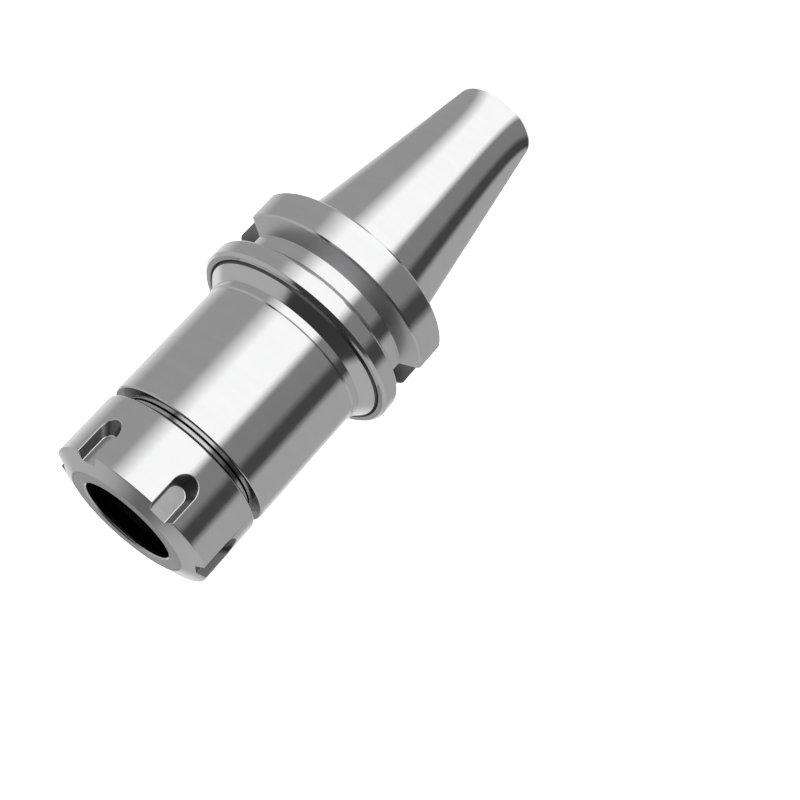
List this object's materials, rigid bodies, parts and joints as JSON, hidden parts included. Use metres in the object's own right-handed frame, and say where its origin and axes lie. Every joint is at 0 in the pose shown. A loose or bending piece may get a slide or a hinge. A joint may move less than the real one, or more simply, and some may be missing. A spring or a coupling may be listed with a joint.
{
  "type": "collet chuck holder",
  "caption": "Milling machine tool holder with a steep taper shank, grooved drive flange, ground cylindrical body and a slotted clamping nut for collets.",
  "frame": {"origin": "on the axis at the gauge plane, where the taper shank measures its nominal diameter", "axes": "+Z along the axis from the small end of the taper to the clamping nut; the flange's two drive slots lie on the X axis"},
  "size_m": [0.063, 0.063, 0.1599],
  "materials": {
    "holder_steel": "ground and polished",
    "nut_steel": "ground",
    "ring_steel": "turned",
    "spring_wire": "drawn"
  },
  "bodies": {
    "holder": {"holder_body": "holder_steel"},
    "ring": {"closing_ring": "ring_steel"},
    "nut": {"clamping_nut": "nut_steel", "retaining_wire": "spring_wire"}
  },
  "joints": [
    {"name": "ring_advance", "type": "slide", "parent": "holder", "child": "ring", "axis": [0, 0, 1], "range_m": [-0.00019, 0.00976]},
    {"name": "nut_turn", "type": "hinge", "parent": "ring", "child": "nut", "pos_m": [0, 0, 0.0833], "axis": [0, 0, 1], "range_deg": [-45, 2340]}
  ],
  "couplings": [
    {"joint": "ring_advance", "follows": "nut_turn", "m_per_rad": 0.00023873}
  ]
}
